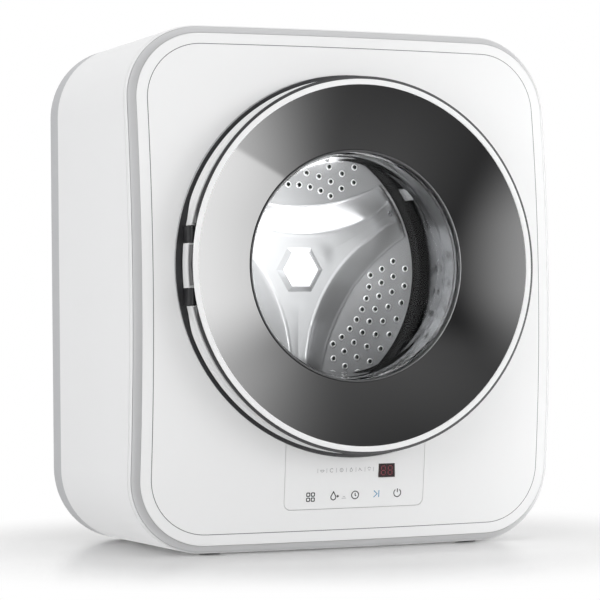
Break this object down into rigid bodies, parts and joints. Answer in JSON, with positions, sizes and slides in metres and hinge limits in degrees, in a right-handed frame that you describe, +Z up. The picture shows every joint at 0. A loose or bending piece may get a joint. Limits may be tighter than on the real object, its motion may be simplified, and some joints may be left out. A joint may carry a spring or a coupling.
{
  "type": "clothes dryer",
  "caption": "Compact wall-hung clothes dryer with a crowned white front, round dished-glass door on a side hinge, stainless drum, belt drive, heater, fan and rear exhaust collar.",
  "frame": {"origin": "centre of the overall box at the level of the pads", "axes": "+X to the right of a person facing the front, +Y from the front to the back, +Z up"},
  "size_m": [0.534, 0.334, 0.6015],
  "materials": {
    "casing_paint": "gloss white enamel on sheet steel",
    "front_white": "gloss",
    "door_white": "gloss",
    "bevel_grey": "satin metallic grey",
    "band_grey": "satin",
    "liner_white": "satin",
    "zinc_sheet": "galvanised",
    "collar_plastic": "satin",
    "black_plastic": "satin",
    "brass_pin": "plain",
    "pad_rubber": "matt",
    "gasket_rubber": "matt",
    "belt_rubber": "matt",
    "screw_steel": "zinc plated",
    "display_lens": "dark red tint",
    "circuit_board": "solder resist",
    "felt": "pressed felt",
    "cast_metal": "as cast",
    "bearing_steel": "ground",
    "heater_metal": "heat darkened",
    "thermostat_ceramic": "plain",
    "motor_metal": "satin",
    "shaft_steel": "ground",
    "magnet_metal": "plated",
    "groove_grey": "satin",
    "smoked_glass": "gloss, printed dark on the back",
    "clear_glass": "gloss",
    "ring_chrome": "satin",
    "drum_steel": "polished stainless",
    "hub_white": "gloss"
  },
  "bodies": {
    "cabinet": {"wrap_casing": "casing_paint", "rear_band": "band_grey", "back_panel": "zinc_sheet", "exhaust_collar": "collar_plastic", "power_inlet": "black_plastic", "inlet_pins": "brass_pin", "base_tray": "zinc_sheet", "base_pads": "pad_rubber", "cabinet_screws": "screw_steel", "front_bevel_ring": "bevel_grey", "front_frame": "front_white", "front_panel": "front_white", "control_panel": "front_white", "display_window": "display_lens", "touch_board": "circuit_board", "main_board": "circuit_board", "door_surround": "liner_white", "door_gasket": "gasket_rubber", "opening_collar": "liner_white", "door_switch": "black_plastic", "front_bulkhead": "zinc_sheet", "front_glide_felt": "felt", "rear_bulkhead": "zinc_sheet", "bearing_housing": "cast_metal", "bearing_outer_race": "bearing_steel", "bearing_balls": "bearing_steel", "lint_filter": "collar_plastic", "front_duct": "collar_plastic", "fan_housing": "collar_plastic", "heater_box": "zinc_sheet", "heater_element": "heater_metal", "thermostats": "thermostat_ceramic", "motor_body": "motor_metal", "motor_bracket": "zinc_sheet", "drum_belt": "belt_rubber", "idler_spring": "shaft_steel", "hinge_bracket": "shaft_steel", "hinge_pin": "shaft_steel"},
    "door": {"door_frame": "door_white", "door_groove_ring": "groove_grey", "door_bezel": "door_white", "door_glass": "smoked_glass", "door_window_ring": "ring_chrome", "window_bowl": "clear_glass", "door_liner": "liner_white", "hinge_leaf": "door_white", "door_magnets": "magnet_metal", "door_screws": "screw_steel"},
    "drum": {"drum_shell": "drum_steel", "drum_back_plate": "drum_steel", "drum_star": "drum_steel", "star_brackets": "drum_steel", "hub_cap": "hub_white", "drum_shaft": "shaft_steel", "bearing_inner_race": "bearing_steel"},
    "rotor": {"motor_shaft": "shaft_steel", "motor_pulley": "shaft_steel", "fan_impeller": "black_plastic"},
    "tensioner": {"idler_arm": "zinc_sheet"},
    "idler": {"idler_pulley": "black_plastic"}
  },
  "joints": [
    {"name": "door_hinge", "type": "hinge", "parent": "cabinet", "child": "door", "pos_m": [-0.206, -0.146, 0.3269], "axis": [0, 0, -1], "range_deg": [0, 110]},
    {"name": "drum_spin", "type": "hinge", "parent": "cabinet", "child": "drum", "pos_m": [0, 0, 0.3269], "axis": [0, 1, 0], "continuous": true},
    {"name": "rotor_spin", "type": "hinge", "parent": "cabinet", "child": "rotor", "pos_m": [-0.13, 0, 0.078], "axis": [0, 1, 0], "continuous": true},
    {"name": "tensioner_pivot", "type": "hinge", "parent": "cabinet", "child": "tensioner", "pos_m": [0.01155, -0.05, 0.10805], "axis": [0, -1, 0], "range_deg": [0, 8], "stiffness_Nm_per_rad": 2, "springref_deg": -11.46},
    {"name": "idler_spin", "type": "hinge", "parent": "tensioner", "child": "idler", "pos_m": [-0.04477, -0.05, 0.08651], "axis": [0, 1, 0], "continuous": true}
  ],
  "couplings": [
    {"joint": "rotor_spin", "follows": "drum_spin", "ratio": 14.35},
    {"joint": "idler_spin", "follows": "drum_spin", "ratio": -11.767}
  ]
}
